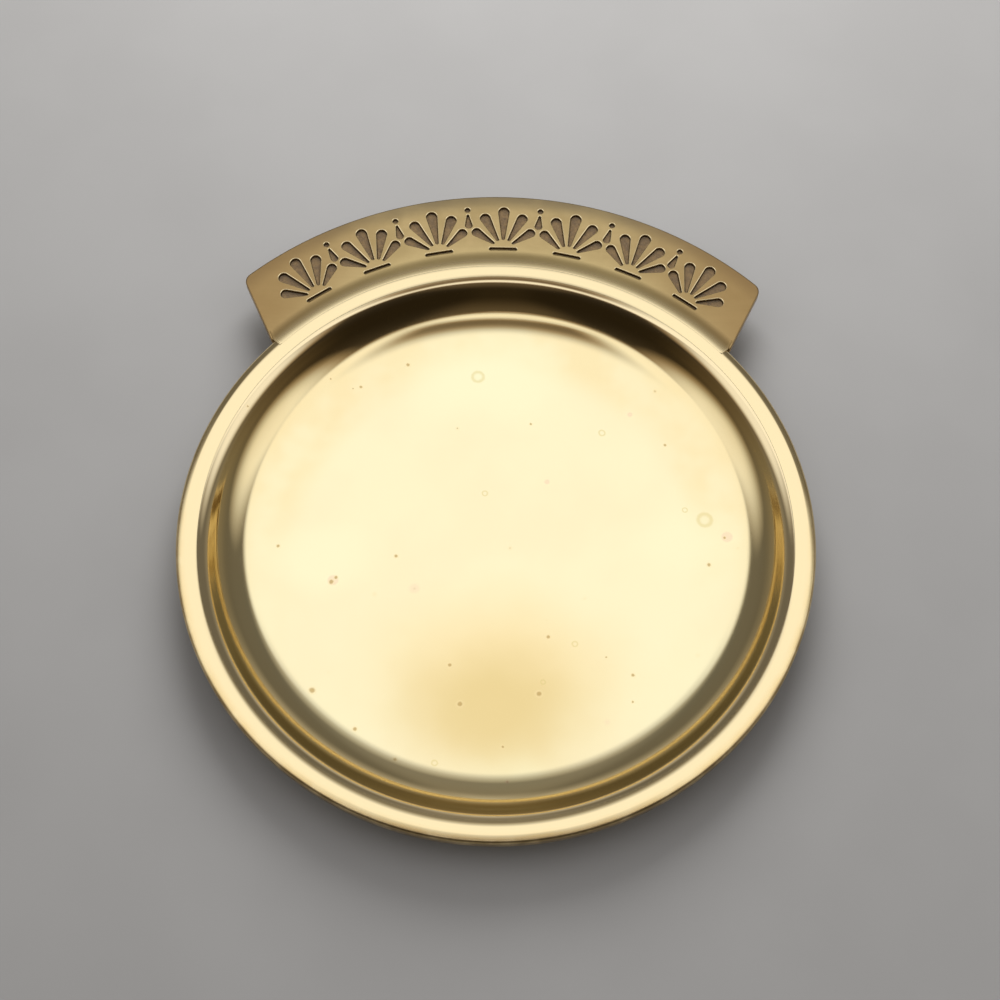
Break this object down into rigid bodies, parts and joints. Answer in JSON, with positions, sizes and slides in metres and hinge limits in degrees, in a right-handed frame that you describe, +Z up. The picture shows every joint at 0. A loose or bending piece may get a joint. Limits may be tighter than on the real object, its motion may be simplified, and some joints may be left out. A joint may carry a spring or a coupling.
{
  "type": "coin tray",
  "caption": "Shallow round brass tray for loose coins, with a crowned rim, an arched ornamental banner plate on one side and a felt base.",
  "frame": {"origin": "centre of the felt pad's underside, where the tray rests on the table, on the axis of the round pan", "axes": "+Z up out of the table, +Y from the pan's axis towards the middle of the banner plate, +X to the right seen from the side away from the plate"},
  "size_m": [0.13, 0.1467, 0.0106],
  "materials": {
    "pan_brass": "polished by turning, with fine circular polish lines, small tarnish spots and water rings",
    "rim_brass": "mirror polished, warmer towards the outer edge",
    "satin_brass": "satin brushed, slightly darkened towards the ends",
    "braze": "dressed smooth and polished into the rim",
    "solder": "dull grey soft solder",
    "dark_filling": "dull brown wax and old polish, uneven",
    "felt": "dark green pressed wool felt"
  },
  "bodies": {
    "root": {"pan": "pan_brass", "rim_ring": "rim_brass", "rim_solder": "solder", "banner_plate": "satin_brass", "plate_braze": "braze", "frieze_filling": "dark_filling", "felt_pad": "felt"}
  },
  "joints": []
}
